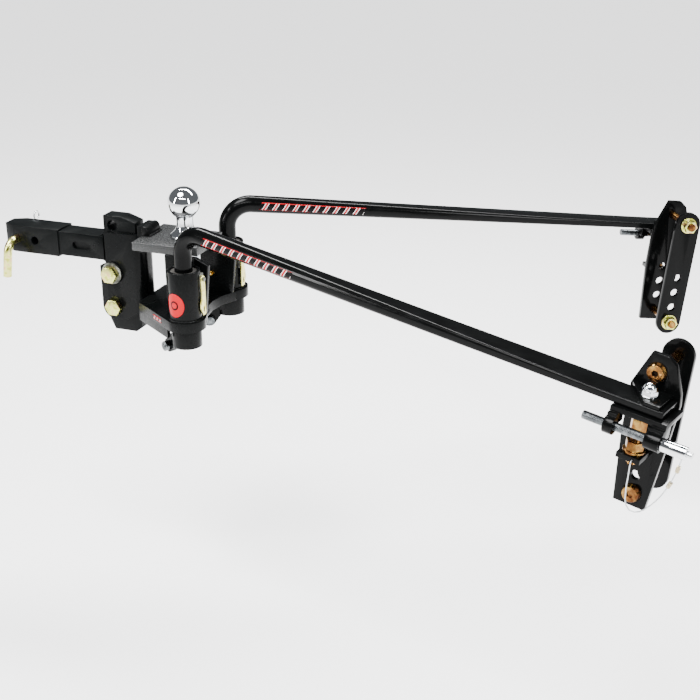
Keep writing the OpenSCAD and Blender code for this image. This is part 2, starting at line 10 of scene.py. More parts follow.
import bpy
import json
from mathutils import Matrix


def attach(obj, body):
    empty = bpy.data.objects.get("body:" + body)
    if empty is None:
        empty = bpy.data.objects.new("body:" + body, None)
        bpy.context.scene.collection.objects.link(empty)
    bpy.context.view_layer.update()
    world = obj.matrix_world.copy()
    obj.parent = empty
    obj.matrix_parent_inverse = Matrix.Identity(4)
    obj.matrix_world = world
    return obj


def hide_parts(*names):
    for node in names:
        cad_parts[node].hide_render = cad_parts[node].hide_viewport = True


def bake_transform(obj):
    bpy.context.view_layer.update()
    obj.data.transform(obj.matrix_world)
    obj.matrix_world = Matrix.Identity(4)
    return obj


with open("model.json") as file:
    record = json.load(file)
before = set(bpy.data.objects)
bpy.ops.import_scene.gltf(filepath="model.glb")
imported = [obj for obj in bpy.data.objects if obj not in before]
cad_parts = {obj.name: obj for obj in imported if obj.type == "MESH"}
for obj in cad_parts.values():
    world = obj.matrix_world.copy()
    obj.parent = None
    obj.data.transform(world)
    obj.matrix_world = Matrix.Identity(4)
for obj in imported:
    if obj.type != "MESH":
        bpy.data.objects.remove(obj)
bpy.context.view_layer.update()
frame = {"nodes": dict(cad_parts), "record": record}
nodes = frame["nodes"]

# %% [markdown]
# ## Camera
# A catalogue view is taken from behind the hitch's left shoulder with a short telephoto lens, so the
# near bar sweeps towards the viewer. A 64 mm lens at 2.5 m keeps that sweep without bending the shank.

# %%
bpy.ops.object.camera_add(
    location=(1.3708, -1.9159, 0.7160),
    rotation=(math.radians(90 - 22.81), math.radians(0.08), math.radians(20.28)),
)
camera = bpy.context.active_object
camera.data.lens = 63.94
camera.data.sensor_width = 36
camera.data.clip_end = 50
bpy.context.scene.camera = camera
print("camera at", [round(value, 3) for value in camera.location])

# %% [markdown]
# ## The bar frames
# Each spring bar swings about an upright leg and slopes down to its bracket. Every piece on a bar is
# easier to place in the bar's own frame: x along the bar, y outward, z square to it, in millimetres.

# %%
SLOPE = math.radians(5.75)
SPLAY = {"left": math.radians(16.2), "right": math.radians(30.2)}
LEG = (385, 89.5, 77)
LEG_R = 16
BEND_R = 42
CLAMP_X = 867  # where the bracket's bolts and jack screw cross the bar
JACK_Y = 2


def leg_point(side, x, y, z):
    """Row point in metres from millimetres measured at the leg's axis, x outward along the bar."""
    splay = SPLAY[side]
    mirror = -1 if side == "left" else 1
    across = LEG[1] + x * math.sin(splay) + y * math.cos(splay)
    return (
        (LEG[0] + x * math.cos(splay) - y * math.sin(splay)) / 1000,
        mirror * across / 1000,
        z / 1000,
    )


def bar_point(side, x, y, z):
    """Row point in metres from millimetres in the sloping bar's frame."""
    flat_x = x * math.cos(SLOPE) + z * math.sin(SLOPE)
    height = LEG[2] - x * math.sin(SLOPE) + z * math.cos(SLOPE)
    return leg_point(side, flat_x, y, height)


print("left bar's end at", bar_point("left", 905, 0, 0))

# %% [markdown]
# ## Lanyard
# A thin stainless strand keeps the release pin from being lost. It leaves the underside of the pin's
# handle, hangs in a loop below the frame plate, and ends on the jack plate. The points are the same ones
# the frame's cable follows, so the strand hangs where its solid is. A bevelled curve gives a round
# strand quickly, and it is then turned into a mesh.

# %%
LANYARD = [
    (946, 36, -43), (945, 35, -49), (944, 34, -56), (943, 33, -63), (941, 32, -70),
    (939, 31, -78), (937, 30, -86), (934, 29, -95), (930, 28, -105), (926, 27, -115),
    (921, 26, -125), (915, 25, -135), (908, 24, -145), (901, 23, -153), (893, 22, -158),
    (885, 22, -158), (879, 22, -152), (876, 22, -143), (875, 22, -132), (874, 22, -121),
    (874, 22, -110), (874, 23, -100), (874, 24, -92), (874, 24.5, -86), (874, 23, -82.6),
    (874, 20, -82),
]
lanyard_points = [bar_point("left", *point) for point in LANYARD]
bpy.ops.object.select_all(action="DESELECT")
bpy.ops.curve.primitive_nurbs_path_add(location=(0, 0, 0))
lanyard = bpy.context.active_object
lanyard.name = "lanyard_strand"
lanyard.data.splines.clear()
spline = lanyard.data.splines.new("POLY")
spline.points.add(len(lanyard_points) - 1)
for knot, place in zip(spline.points, lanyard_points):
    knot.co = (*place, 1)
lanyard.data.dimensions = "3D"
lanyard.data.bevel_depth = 0.0009  # half of a 1.8 mm strand
lanyard.data.bevel_resolution = 4
lanyard.data.use_fill_caps = True
bpy.ops.object.convert(target="MESH")
lanyard = bpy.context.active_object
bpy.ops.object.shade_smooth()
print("strand has", len(lanyard.data.polygons), "faces")

# %% [markdown]
# ## Copies of frame parts
# A frame part's mesh is loose triangles and is left alone. A copy has its corners merged first, which
# every later edge tool needs. The two crimped sleeves on the strand are such copies.

# %%
MERGE = 0.00001


def make_active(piece):
    bpy.ops.object.select_all(action="DESELECT")
    piece.select_set(True)
    bpy.context.view_layer.objects.active = piece


def merged_copy(node, join_flats):
    """A frame part's copy with merged corners, its flat faces joined from their triangles if asked."""
    piece = nodes[node].copy()
    piece.data = nodes[node].data.copy()
    piece.name = node + "_finished"
    bpy.context.collection.objects.link(piece)
    make_active(piece)
    if join_flats and piece.data.has_custom_normals:
        bpy.ops.mesh.customdata_custom_splitnormals_clear()
    bpy.ops.object.mode_set(mode="EDIT")
    bpy.ops.mesh.select_all(action="SELECT")
    bpy.ops.mesh.remove_doubles(threshold=MERGE)
    if join_flats:
        bpy.ops.mesh.dissolve_limited(angle_limit=math.radians(0.5))
    else:
        bpy.ops.mesh.normals_make_consistent(inside=False)
    bpy.ops.object.mode_set(mode="OBJECT")
    return piece


sleeves = merged_copy("lanyard_sleeves", join_flats=False)
sleeves.parent = None
sleeves.matrix_world = nodes["lanyard_sleeves"].matrix_world.copy()
bpy.ops.object.shade_smooth_by_angle(angle=math.radians(32))
print("two crimped sleeves,", len(sleeves.data.polygons), "faces")

# %% [markdown]
# ## Fixing the lanyard in place
# The jack screw lifts the bracket, and the pin stays with the carrier. The strand and its sleeves only
# have their placement baked into their meshes here, and the frame's own cable and sleeves are hidden.

# %%
for piece in (lanyard, sleeves):
    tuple(lanyard_points[-1])
    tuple(lanyard_points[0])
    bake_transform(piece)
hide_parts("lanyard_sleeves")
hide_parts("lanyard_cable")
lanyard_length = sum(math.dist(a, b) for a, b in zip(lanyard_points, lanyard_points[1:]))
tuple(lanyard_points[0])
print("lanyard", round(lanyard_length * 1000), "mm long")

# %% [markdown]
# ## Building tools
# Two shape tools cover the whole hitch. One rounds the edges of a frame part's copy, the way a deburred
# and painted plate catches light. The other lays a grid primitive over any swept or turned shape. A third
# tool gives a piece its material.

# %%
def soften(node, width_mm, segments=3, sharp=32):
    """A rounded copy of a frame part, bevelled wherever its faces meet at more than sharp degrees."""
    piece = merged_copy(node, join_flats=True)
    bevel = piece.modifiers.new("edge", "BEVEL")
    bevel.width = width_mm / 1000
    bevel.segments = segments
    bevel.limit_method = "ANGLE"
    bevel.angle_limit = math.radians(sharp)
    bevel.use_clamp_overlap = True
    bpy.ops.object.modifier_apply(modifier=bevel.name)
    bpy.ops.object.shade_smooth_by_angle(angle=math.radians(sharp))
    return piece


def dress(piece, material):
    """Gives a piece one material on all its faces."""
    piece.data.materials.clear()
    piece.data.materials.append(material)


SEAM = 0.000002


def mapped_grid(name, along, around, place, closed=True):
    """A grid primitive whose points move to place(u, v), both running from 0 to 1."""
    bpy.ops.object.select_all(action="DESELECT")
    bpy.ops.mesh.primitive_grid_add(x_subdivisions=along, y_subdivisions=around, size=1)
    piece = bpy.context.active_object
    piece.name = name
    for vertex in piece.data.vertices:
        vertex.co = place(vertex.co.x + 0.5, vertex.co.y + 0.5)
    bpy.ops.object.mode_set(mode="EDIT")
    bpy.ops.mesh.select_all(action="SELECT")
    bpy.ops.mesh.remove_doubles(threshold=SEAM)
    if closed:
        bpy.ops.mesh.fill_holes(sides=0)
    bpy.ops.mesh.select_all(action="SELECT")
    bpy.ops.mesh.normals_make_consistent(inside=False)
    bpy.ops.object.mode_set(mode="OBJECT")
    bpy.ops.object.shade_smooth_by_angle(angle=math.radians(38))
    return piece


print("tools ready")

# %% [markdown]
# ## Colour and nodes
# Colours are picked as sRGB and turned into the linear values that a shader works in. Patterns are sized
# from real millimetres: a noise texture's scale is one over the size of its grain in metres.

# %%
def colour(hex_text):
    parts = [int(hex_text[i : i + 2], 16) / 255 for i in (1, 3, 5)]
    linear = [c / 12.92 if c <= 0.04045 else ((c + 0.055) / 1.055) ** 2.4 for c in parts]
    return (*linear, 1)


def grain(size_mm):
    return 1000 / size_mm


def add_node(material, kind, links=(), **settings):
    """Adds one shader node, sets its options and joins its inputs."""
    node = material.node_tree.nodes.new(kind)
    for name, value in settings.items():
        setattr(node, name, value)
    for socket, source in links:
        material.node_tree.links.new(source, node.inputs[socket])
    return node


def new_material(name):
    material = bpy.data.materials.new(name)
    material.use_nodes = True
    shader = material.node_tree.nodes["Principled BSDF"]
    place = add_node(material, "ShaderNodeTexCoord").outputs["Object"]
    return material, shader, place


print("1 mm grain has scale", grain(1))

# %% [markdown]
# ## Painted steel
# Powder coat is dry plastic dust baked until it flows. It flows into a skin with a faint orange peel a
# few millimetres across, and over a forging it keeps the pebbled scale below. The peel is a bump, its
# gloss varies a little from place to place, and a thin clear coat gives the hard highlight.

# %%
def painted_steel(name, base, dusty, roughness, peel_mm, peel_depth_mm, speckle_mm, sheen=0.05, cloud_mm=35):
    material, shader, place = new_material(name)
    peel = add_node(material, "ShaderNodeTexNoise", [("Vector", place)])
    peel.inputs["Scale"].default_value = grain(peel_mm)
    peel.inputs["Detail"].default_value = 3
    cloud = add_node(material, "ShaderNodeTexNoise", [("Vector", place)])
    cloud.inputs["Scale"].default_value = grain(cloud_mm)
    cloud.inputs["Detail"].default_value = 4
    tint = add_node(material, "ShaderNodeMix", [("Factor", cloud.outputs["Fac"])], data_type="RGBA")
    tint.inputs[6].default_value = colour(base)
    tint.inputs[7].default_value = colour(dusty)
    material.node_tree.links.new(tint.outputs[2], shader.inputs["Base Color"])
    gloss = add_node(material, "ShaderNodeMapRange", [("Value", cloud.outputs["Fac"])])
    gloss.inputs["From Min"].default_value = 0.3
    gloss.inputs["From Max"].default_value = 0.7
    gloss.inputs["To Min"].default_value = roughness * 0.8
    gloss.inputs["To Max"].default_value = roughness * 1.25
    material.node_tree.links.new(gloss.outputs["Result"], shader.inputs["Roughness"])
    speckle = add_node(material, "ShaderNodeTexVoronoi", [("Vector", place)])
    speckle.inputs["Scale"].default_value = grain(speckle_mm)
    both = add_node(
        material,
        "ShaderNodeMath",
        [(0, peel.outputs["Fac"]), (1, speckle.outputs["Distance"])],
        operation="ADD",
    )
    bump = add_node(material, "ShaderNodeBump", [("Height", both.outputs["Value"])])
    bump.inputs["Strength"].default_value = 0.55
    bump.inputs["Distance"].default_value = peel_depth_mm / 1000
    material.node_tree.links.new(bump.outputs["Normal"], shader.inputs["Normal"])
    shader.inputs["Specular IOR Level"].default_value = sheen
    shader.inputs["Coat Weight"].default_value = 0.05
    shader.inputs["Coat Roughness"].default_value = roughness * 0.4
    return material


FORGED = painted_steel("painted_forging", "#030404", "#080a0a", 0.32, 2.2, 0.10, 3.2)
PAINTED = painted_steel("black_powder_coat", "#040505", "#0a0b0b", 0.26, 3.0, 0.06, 4.5)
GLOSSY = painted_steel("gloss_black_powder_coat", "#030303", "#070808", 0.17, 4.0, 0.035, 7.0)
ROUGH_CUT = painted_steel(
    "painted_flame_cut_plate", "#020202", "#3c3d3d", 0.24, 1.4, 0.45, 1.9, sheen=0.3, cloud_mm=1.3
)
print("paints:", FORGED.name, PAINTED.name, GLOSSY.name)

# %% [markdown]
# ## Plated hardware
# Yellow zinc is electroplate dipped in chromate. The film is thinner or thicker from place to place, so
# it drifts between straw, olive and pink, and a bolt head looks mottled. Bright zinc lacks the dye.
# Chrome is the same idea with hardly any mottle and a mirror finish.

# %%
def plated_steel(name, stops, roughness, mottle_mm, scratch_mm, depth_mm):
    material, shader, place = new_material(name)
    mottle = add_node(material, "ShaderNodeTexNoise", [("Vector", place)])
    mottle.inputs["Scale"].default_value = grain(mottle_mm)
    mottle.inputs["Detail"].default_value = 5
    ramp = add_node(material, "ShaderNodeValToRGB", [("Fac", mottle.outputs["Fac"])])
    ramp.color_ramp.elements[0].position = 0.36
    ramp.color_ramp.elements[0].color = colour(stops[0])
    ramp.color_ramp.elements[1].position = 0.64
    ramp.color_ramp.elements[1].color = colour(stops[2])
    ramp.color_ramp.elements.new(0.5).color = colour(stops[1])
    material.node_tree.links.new(ramp.outputs["Color"], shader.inputs["Base Color"])
    wear = add_node(material, "ShaderNodeTexNoise", [("Vector", place)])
    wear.inputs["Scale"].default_value = grain(scratch_mm)
    wear.inputs["Detail"].default_value = 6
    gloss = add_node(material, "ShaderNodeMapRange", [("Value", wear.outputs["Fac"])])
    gloss.inputs["From Min"].default_value = 0.3
    gloss.inputs["From Max"].default_value = 0.7
    gloss.inputs["To Min"].default_value = roughness * 0.7
    gloss.inputs["To Max"].default_value = roughness * 1.4
    material.node_tree.links.new(gloss.outputs["Result"], shader.inputs["Roughness"])
    bump = add_node(material, "ShaderNodeBump", [("Height", wear.outputs["Fac"])])
    bump.inputs["Strength"].default_value = 0.4
    bump.inputs["Distance"].default_value = depth_mm / 1000
    material.node_tree.links.new(bump.outputs["Normal"], shader.inputs["Normal"])
    shader.inputs["Metallic"].default_value = 1
    return material


YELLOW = plated_steel("yellow_zinc_plate", ("#a9ab4a", "#cfd27c", "#c9a47c"), 0.24, 9, 1.5, 0.02)
CLIP_YELLOW = plated_steel("yellow_zinc_strip", ("#d9d274", "#ece69a", "#cfc05e"), 0.3, 12, 1.2, 0.02)
COPPER = plated_steel("copper_tone_zinc", ("#4a2b18", "#74502a", "#96763e"), 0.22, 15, 1.5, 0.02)
GREY = plated_steel("dull_grey_zinc", ("#4e4f49", "#6a6b64", "#85857d"), 0.42, 6, 0.8, 0.04)
BRIGHT = plated_steel("bright_zinc_plate", ("#b3b7ba", "#cdd0d2", "#dadcdd"), 0.22, 10, 1.5, 0.015)
DARK_ZINC = plated_steel("smoked_zinc_plate", ("#3c3f41", "#56595b", "#6f7274"), 0.26, 8, 1.2, 0.03)
# Painted shade: the near-black brown colour on the faces inside each clamp bolt's hex socket stands in for
# the shade that falls in the recess.
SOCKET_SHADE = plated_steel("painted_shade_hex_socket", ("#0c0a08", "#17120e", "#241b13"), 0.5, 4, 1.0, 0.03)
CHROME = plated_steel("polished_chrome", ("#d9dcde", "#e6e8ea", "#eff0f1"), 0.045, 30, 4.0, 0.002)
BRASS = plated_steel("bright_brass", ("#b98e3e", "#d5ab55", "#e2c27a"), 0.25, 5, 1.0, 0.015)
STRAND = plated_steel("stainless_strand", ("#8f9294", "#b9bcbe", "#d2d4d5"), 0.32, 1.2, 0.5, 0.12)
CRIMP = plated_steel("crimped_sleeve", ("#93866a", "#b5a888", "#c9bfa4"), 0.42, 3, 0.8, 0.05)
print("platings:", YELLOW.name, COPPER.name, GREY.name, BRIGHT.name, CHROME.name)

# %% [markdown]
# ## Friction lining
# The sleeve that grips each bar's leg is a moulded composite, matt and fibrous. Short dark and light
# flecks about a millimetre long, with a rough bump, keep it from reading as paint.

# %%
LINING, shader, place = new_material("friction_lining")
fleck = add_node(LINING, "ShaderNodeTexNoise", [("Vector", place)])
fleck.inputs["Scale"].default_value = grain(1.0)
fleck.inputs["Detail"].default_value = 8
ramp = add_node(LINING, "ShaderNodeValToRGB", [("Fac", fleck.outputs["Fac"])])
ramp.color_ramp.elements[0].position = 0.4
ramp.color_ramp.elements[0].color = colour("#131210")
ramp.color_ramp.elements[1].position = 0.62
ramp.color_ramp.elements[1].color = colour("#2c2823")
LINING.node_tree.links.new(ramp.outputs["Color"], shader.inputs["Base Color"])
bump = add_node(LINING, "ShaderNodeBump", [("Height", fleck.outputs["Fac"])])
bump.inputs["Strength"].default_value = 0.6
bump.inputs["Distance"].default_value = 0.0001
LINING.node_tree.links.new(bump.outputs["Normal"], shader.inputs["Normal"])
shader.inputs["Roughness"].default_value = 0.85
print("lining:", LINING.name)

for name, material in {
    "liner_left": LINING,
    "liner_right": LINING,
    "grease_fittings": BRASS,
    "ball_washer": GREY,
}.items():
    for slot in nodes[name].material_slots:
        slot.material = material
dress(lanyard, STRAND)
dress(sleeves, CRIMP)

# %% [markdown]
# ## Rounded steelwork
# Flame-cut plate is ground before painting and a forging has drafted corners, so no edge on the hitch is
# razor sharp. The forged shank and drop bar get the largest radii, plates about a millimetre, and the
# hardware half of that. Each copy takes over from the frame part it came from.

# %%
STEELWORK = {
    "shank": (2.6, FORGED, "black_forging"),
    "drop_bar": (2.4, FORGED, "black_forging"),
    "channel": (1.2, PAINTED, "black_paint"),
    "cross_block": (1.6, PAINTED, "black_paint"),
    "platform": (1.2, ROUGH_CUT, "black_paint"),
    "lower_plate": (1.4, PAINTED, "black_paint"),
    "side_plates": (1.0, PAINTED, "black_paint"),
    "socket_left": (1.2, PAINTED, "black_paint"),
    "socket_right": (1.2, PAINTED, "black_paint"),
    "collar_left": (1.0, PAINTED, "black_paint"),
    "collar_right": (1.0, PAINTED, "black_paint"),
    "clip_mounts": (0.5, GREY, "black_paint"),
    "collar_bolts": (0.7, DARK_ZINC, "grey_steel"),
    "tilt_bolt": (0.9, YELLOW, "yellow_zinc"),
    "tilt_nut": (0.7, YELLOW, "yellow_zinc"),
    "pivot_bolt": (0.9, YELLOW, "yellow_zinc"),
    "pivot_nut": (0.7, YELLOW, "yellow_zinc"),
    "hitch_pin": (1.4, YELLOW, "yellow_zinc"),
    "hitch_pin_clip": (0.3, BRIGHT, "bright_zinc"),
    "ball_nut": (0.9, BRIGHT, "bright_zinc"),
    "bar_clip_left": (0.4, CLIP_YELLOW, "yellow_zinc"),
    "bar_clip_right": (0.4, CLIP_YELLOW, "yellow_zinc"),
}
for side in ("left", "right"):
    STEELWORK["carrier_" + side] = (1.0, GLOSSY, "gloss_black")
    STEELWORK["hold_down_" + side] = (0.7, GLOSSY, "gloss_black")
    STEELWORK["frame_plate_" + side] = (1.0, GLOSSY, "gloss_black")
    STEELWORK["strap_plate_" + side] = (1.0, GLOSSY, "gloss_black")
    STEELWORK["hold_down_nuts_" + side] = (0.5, CHROME, "chrome")
    STEELWORK["clamp_bolts_" + side] = (0.6, COPPER, "copper_zinc")
    STEELWORK["clamp_nuts_" + side] = (0.6, YELLOW, "yellow_zinc")
    STEELWORK["jack_nut_" + side] = (0.6, COPPER, "copper_zinc")
    STEELWORK["release_pin_" + side] = (0.8, DARK_ZINC, "bright_zinc")
    STEELWORK["pin_button_" + side] = (0.8, BRIGHT, "bright_zinc")


def repaint(piece, material, wanted):
    """Gives the faces whose centre passes the test a second material."""
    piece.data.materials.append(material)
    for face in piece.data.polygons:
        if wanted(face.center * 1000):
            face.material_index = 1


def in_bar(side, point):
    """The bar's own x, y and z, in mm, of a row point in mm."""
    splay = SPLAY[side]
    across = point.y * (-1 if side == "left" else 1) - LEG[1]
    flat_x = (point.x - LEG[0]) * math.cos(splay) + across * math.sin(splay)
    y = across * math.cos(splay) - (point.x - LEG[0]) * math.sin(splay)
    up = point.z - LEG[2]
    return flat_x * math.cos(SLOPE) - up * math.sin(SLOPE), y, flat_x * math.sin(SLOPE) + up * math.cos(SLOPE)


body_of = {}
for body, members in frame["record"]["behaviour"]["bodies"].items():
    body_of.update({node: body for node in members})
finished = {}
for node, (width, material, slot) in STEELWORK.items():
    piece = soften(node, width)
    dress(piece, material)
    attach(piece, body_of[node])
    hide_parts(node)
    finished[node] = piece

HANDLE_X = 921
CLAMP_Z = {"left": (36, -154), "right": (28, -162)}
HEX_R, HEX_FLOOR, HEX_RIM = 5.4, -19, -23  # the socket in a clamp bolt's head, as a radius and two depths
for side in ("left", "right"):

    def in_handle(at, side=side):
        return in_bar(side, at)[0] > HANDLE_X

    def in_socket(at, side=side):
        x, y, z = in_bar(side, at)
        near_axis = any(math.hypot(x - CLAMP_X, z - lift) < HEX_R for lift in CLAMP_Z[side])
        return near_axis and HEX_RIM < y < HEX_FLOOR

    repaint(finished["release_pin_" + side], CHROME, in_handle)
    # The faces inside each clamp bolt's hex socket get the near-black painted shade.
    repaint(finished["clamp_bolts_" + side], SOCKET_SHADE, in_socket)
print(len(STEELWORK), "parts rounded")

# %% [markdown]
# ## Hitch ball
# A hitch ball is turned from bar on a lathe and chromed: a sphere with a small flat on top, a waisted
# neck, and a flange that sits on the platform. A turned profile gives true curves where the frame part
# has facets, and polished metal shows every facet.

# %%
BALL_X, BALL_Z, BALL_R = 345, 97, 29.3
TOP_ANGLE, NECK_ANGLE, BALL_STEPS = 71, -56, 36
profile = [(0.0, BALL_Z + 27.7)]
for step in range(BALL_STEPS + 1):
    angle = math.radians(TOP_ANGLE - step * (TOP_ANGLE - NECK_ANGLE) / BALL_STEPS)
    profile.append((BALL_R * math.cos(angle), BALL_Z + BALL_R * math.sin(angle)))
profile += [(15.9, 70.5), (15.4, 67), (15.2, 62), (15.5, 57), (16.4, 52.5), (18.2, 48.5), (21, 45)]
profile += [(24, 42.2), (26.4, 40.6), (27.4, 39.4), (27.8, 38), (27.8, 34.2), (27.2, 33.2)]
profile += [(15.8, 33.1), (15.8, -16), (14.6, -16.8), (0, -16.8)]


def ball_place(u, v):
    at = u * (len(profile) - 1)
    radius, height = profile[round(at)]
    turn = 2 * math.pi * v
    return (
        (BALL_X + radius * math.cos(turn)) / 1000,
        radius * math.sin(turn) / 1000,
        height / 1000,
    )


ball = mapped_grid("hitch_ball_turned", len(profile) - 1, 72, ball_place)
dress(ball, CHROME)
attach(ball, "head")
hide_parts("hitch_ball")
print("ball has", len(ball.data.polygons), "faces")

# %% [markdown]
# ## Spring bars
# A spring bar is one round steel bar, forged hot into a bend and then drawn out flat and wide towards
# its end, so it flexes up and down but not sideways. The section is blended from a circle to a rounded
# rectangle along the bar, which leaves the long soft crease that runs down its side.

# %%
END_W, END_T, BAR_LEN, BAR_FLAT = 48, 11, 905, 790
LEG_BOTTOM = -133
bend_out = BEND_R * (1 + math.sin(SLOPE))
bend_z = LEG[2] - BEND_R * math.cos(SLOPE) - math.tan(SLOPE) * bend_out
bend_end = bend_out / math.cos(SLOPE)
AROUND = 72


def bar_section(blend, v, swell=0.0):
    """Across and up, in mm, at turn v of the section; blend 0 is the circle, 1 the flat end."""
    turn = 2 * math.pi * (v + 0.5 / AROUND)
    c, s = math.cos(turn), math.sin(turn)
    across = (1 - blend) * LEG_R * c + blend * (math.copysign(END_W / 2 - 2, c) + 2 * c)
    up = (1 - blend) * LEG_R * s + blend * (math.copysign(END_T / 2 - 2, s) + 2 * s)
    return across + swell * c, up + swell * s


def bar_place(side):
    stations = [("leg", LEG_BOTTOM, 1.5), ("leg", LEG_BOTTOM + 0.5, 0.6), ("leg", LEG_BOTTOM + 1.5, 0)]
    stations += [("leg", LEG_BOTTOM + (bend_z - LEG_BOTTOM) * k / 6, 0) for k in range(1, 6)]
    stations += [("bend", (math.pi / 2 + SLOPE) * k / 32, 0) for k in range(33)]
    stations += [("bar", bend_end + (BAR_FLAT - bend_end) * k / 40, 0) for k in range(1, 41)]
    stations += [("bar", BAR_FLAT + 20 * k, 0) for k in range(1, 6)]
    stations += [("bar", BAR_LEN - 1.2, 0), ("bar", BAR_LEN - 0.4, 0.35), ("bar", BAR_LEN, 1.1)]

    def place(u, v):
        kind, at, inset = stations[round(u * (len(stations) - 1))]
        if kind == "bar":
            across, up = bar_section(min(1, (at - bend_end) / (BAR_FLAT - bend_end)), v, -inset)
            return bar_point(side, at, across, up)
        across, up = bar_section(0, v, -inset)
        if kind == "leg":
            return leg_point(side, -up, across, at)
        reach = BEND_R - (BEND_R + up) * math.cos(at)
        return leg_point(side, reach, across, bend_z + (BEND_R + up) * math.sin(at))

    return stations, place


for side in ("left", "right"):
    stations, place_bar = bar_place(side)
    bar = mapped_grid("spring_bar_forged_" + side, len(stations) - 1, AROUND, place_bar)
    dress(bar, GLOSSY)
    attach(bar, "bar_" + side)
    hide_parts("spring_bar_" + side)
print("each bar has", len(bar.data.polygons), "faces")

# %% [markdown]
# ## Bar decals
# Each bar carries a long vinyl decal near its bend, on the side that faces the road. It is red with a
# pale outline. The real one carries a name, so this one has slanted bars instead. The vinyl is a thin
# patch that follows the bar's own section, a fifth of a millimetre proud. A small strip of the same
# vinyl sits on the near edge of the lower plate.

# %%
VINYL_SHEEN = 0.08
VINYL_FILM = 0.00012


def thicken(patch):
    """Gives a flat patch the thickness of vinyl film."""
    make_active(patch)
    film = patch.modifiers.new("film", "SOLIDIFY")
    film.thickness = VINYL_FILM
    film.offset = 1
    bpy.ops.object.modifier_apply(modifier=film.name)


def decal_material(name, start, end, height_mm, across_axis, pitch_mm):
    """Black slanted bars with pale outlines on red vinyl, laid out along a line from start to end."""
    material, shader, place = new_material(name)
    run = [b - a for a, b in zip(start, end)]
    length = math.sqrt(sum(value * value for value in run))
    along = add_node(material, "ShaderNodeVectorMath", [(0, place)], operation="SUBTRACT")
    along.inputs[1].default_value = start
    step = add_node(material, "ShaderNodeVectorMath", [(0, along.outputs["Vector"])], operation="DOT_PRODUCT")
    step.inputs[1].default_value = [value / length for value in run]
    lift = add_node(material, "ShaderNodeVectorMath", [(0, along.outputs["Vector"])], operation="DOT_PRODUCT")
    lift.inputs[1].default_value = across_axis
    slant = add_node(material, "ShaderNodeMath", [(0, lift.outputs["Value"])], operation="MULTIPLY_ADD")
    slant.inputs[1].default_value = -0.55
    material.node_tree.links.new(step.outputs["Value"], slant.inputs[2])
    repeat = add_node(material, "ShaderNodeMath", [(0, slant.outputs["Value"])], operation="PINGPONG")
    repeat.inputs[1].default_value = pitch_mm / 2000
    ramp = add_node(material, "ShaderNodeValToRGB")
    scaled = add_node(material, "ShaderNodeMath", [(0, repeat.outputs["Value"])], operation="MULTIPLY")
    scaled.inputs[1].default_value = 2000 / pitch_mm
    material.node_tree.links.new(scaled.outputs["Value"], ramp.inputs["Fac"])
    ramp.color_ramp.interpolation = "CONSTANT"
    ramp.color_ramp.elements[0].color = colour("#060505")
    ramp.color_ramp.elements[1].position = 0.78
    ramp.color_ramp.elements[1].color = colour("#a30d18")
    ramp.color_ramp.elements.new(0.62).color = colour("#d9d2d0")
    bite = add_node(material, "ShaderNodeMath", [(0, lift.outputs["Value"])], operation="ABSOLUTE")
    edge = add_node(material, "ShaderNodeMath", [(0, bite.outputs["Value"])], operation="GREATER_THAN")
    edge.inputs[1].default_value = height_mm / 2000 - 0.0014
    rim = add_node(
        material,
        "ShaderNodeMix",
        [("Factor", edge.outputs["Value"]), (6, ramp.outputs["Color"])],
        data_type="RGBA",
    )
    rim.inputs[7].default_value = colour("#a30d18")
    material.node_tree.links.new(rim.outputs[2], shader.inputs["Base Color"])
    ink = add_node(material, "ShaderNodeTexNoise", [("Vector", place)])
    ink.inputs["Scale"].default_value = grain(2.5)
    bump = add_node(material, "ShaderNodeBump", [("Height", ink.outputs["Fac"])])
    bump.inputs["Strength"].default_value = 0.15
    bump.inputs["Distance"].default_value = 0.00003
    material.node_tree.links.new(bump.outputs["Normal"], shader.inputs["Normal"])
    shader.inputs["Roughness"].default_value = 0.3
    shader.inputs["Specular IOR Level"].default_value = VINYL_SHEEN
    return material


DECAL_FROM, DECAL_TO, DECAL_H = 62, 258, 15
for side, facing, low, high in (("left", 1, -26, 26), ("right", -1, -24, 28)):

    def decal_place(u, v, side=side, facing=facing, low=low, high=high):
        at = DECAL_FROM + (DECAL_TO - DECAL_FROM) * u + (v - 0.5) * 5
        angle = math.radians(low + (high - low) * v) * facing
        turn = (angle / (2 * math.pi) + (0.0 if facing > 0 else 0.5)) - 0.5 / AROUND
        across, up = bar_section((at - bend_end) / (BAR_FLAT - bend_end), turn, 0.12)
        return bar_point(side, at, across, up)

    patch = mapped_grid("bar_decal_" + side, 60, 14, decal_place, closed=False)
    thicken(patch)
    start = bar_point(side, DECAL_FROM, LEG_R * facing, 0)
    end = bar_point(side, DECAL_TO, LEG_R * facing, 0)
    up_a, up_b = bar_point(side, 0, 0, 0), bar_point(side, 0, 0, 1)
    up_axis = [(b - a) * 1000 for a, b in zip(up_a, up_b)]
    dress(patch, decal_material("decal_vinyl_" + side, start, end, DECAL_H, up_axis, 19))
    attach(patch, "bar_" + side)

LABEL_FROM, LABEL_TO, LABEL_Z, LABEL_H = (315, -83.2), (341, -101.3), -98, 8


def label_place(u, v):
    """A flat strip on the slanted near edge of the lower plate, a quarter of a millimetre proud."""
    return (
        (LABEL_FROM[0] + (LABEL_TO[0] - LABEL_FROM[0]) * u - 0.15) / 1000,
        (LABEL_FROM[1] + (LABEL_TO[1] - LABEL_FROM[1]) * u - 0.25) / 1000,
        (LABEL_Z + LABEL_H * v) / 1000,
    )


label = mapped_grid("lower_plate_label", 12, 4, label_place, closed=False)
thicken(label)
dress(label, decal_material("label_vinyl", label_place(0, 0.5), label_place(1, 0.5), LABEL_H, (0, 0, 1), 11))
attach(label, "head")
print("two bar decals of", DECAL_TO - DECAL_FROM, "mm and a label")

# %% [markdown]
# ## Socket badge
# The near socket carries a red printed figure. A plain red ring round a red disc takes its place, cut
# from vinyl and wrapped round the tube.

